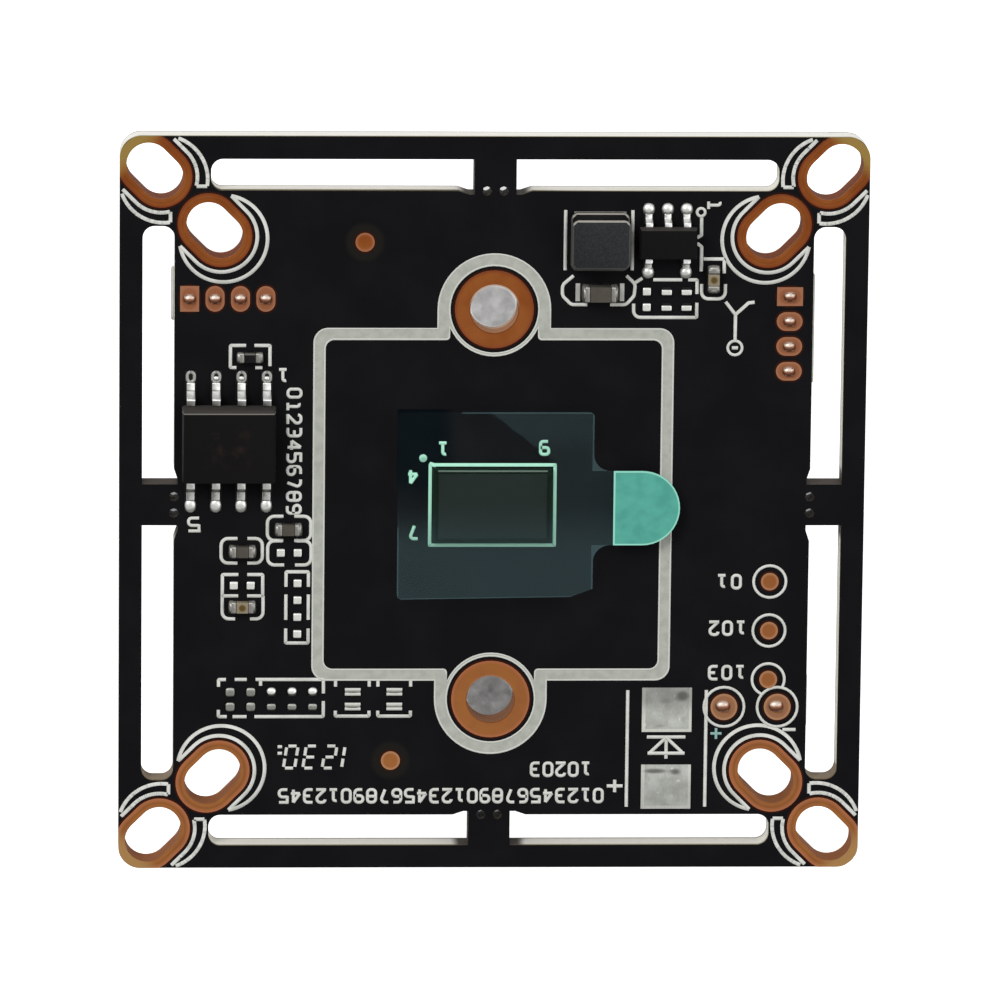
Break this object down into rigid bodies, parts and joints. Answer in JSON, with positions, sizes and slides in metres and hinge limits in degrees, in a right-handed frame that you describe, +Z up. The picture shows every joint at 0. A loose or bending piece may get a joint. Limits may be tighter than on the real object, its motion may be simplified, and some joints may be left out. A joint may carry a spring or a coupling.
{
  "type": "camera circuit board",
  "caption": "Bare square camera circuit board with a filmed image sensor, pull tab, break-off frame with slotted corners, lens-holder holes, chips and pin sockets behind.",
  "frame": {"origin": "under the middle of the board, on the surface that the three sockets stand on", "axes": "+Z up, the sensor's side of the board facing up; +Y from the board's middle to the side with the four-pin pads in a row along it; +X to the side of the pull tab"},
  "size_m": [0.0376, 0.0376, 0.0075],
  "materials": {
    "mask": "black solder mask, satin, on laminate",
    "copper": "bare copper with a preservative film, slightly dull",
    "tin": "tinned, softly shining",
    "print": "white board ink, matt",
    "silicon": "dark silicon with fine bond areas",
    "cover_glass": "clear, coated",
    "film": "thin tinted film, slightly creased",
    "tab": "opaque mint plastic, satin",
    "moulding": "black epoxy moulding, fine grain",
    "ferrite": "dark grey ferrite, matt",
    "winding": "enamelled copper wire",
    "grey_ceramic": "grey-brown fired ceramic",
    "tan_ceramic": "tan fired ceramic",
    "resistor": "black glaze",
    "socket_plastic": "black moulded plastic",
    "pin_metal": "tinned pins",
    "crystal_ceramic": "dark ceramic",
    "can_metal": "plated lid, brushed"
  },
  "bodies": {
    "root": {"board": "mask", "corner_slot_lands": "copper", "lens_hole_plating": "copper", "socket_pads": "copper", "probe_pads": "copper", "fiducial_dots": "copper", "diode_pads": "tin", "spare_pads": "tin", "part_pads": "tin", "holder_outline": "print", "sensor_outline": "print", "sensor_package": "silicon", "sensor_glass": "cover_glass", "protective_film": "film", "pull_tab": "tab", "memory_chip": "moulding", "memory_leads": "tin", "converter_chip": "moulding", "converter_leads": "tin", "inductor_drum": "ferrite", "inductor_winding": "winding", "inductor_terminals": "tin", "capacitor_bodies": "grey_ceramic", "tan_capacitor_bodies": "tan_ceramic", "capacitor_ends": "tin", "resistor_body": "resistor", "resistor_ends": "tin", "left_socket": "socket_plastic", "right_socket": "socket_plastic", "power_socket": "socket_plastic", "left_socket_pins": "pin_metal", "right_socket_pins": "pin_metal", "power_socket_pins": "pin_metal", "processor": "moulding", "crystal_base": "crystal_ceramic", "crystal_can": "can_metal", "regulator_chip": "moulding", "regulator_leads": "tin", "back_capacitor_bodies": "tan_ceramic", "back_capacitor_ends": "tin"}
  },
  "joints": []
}
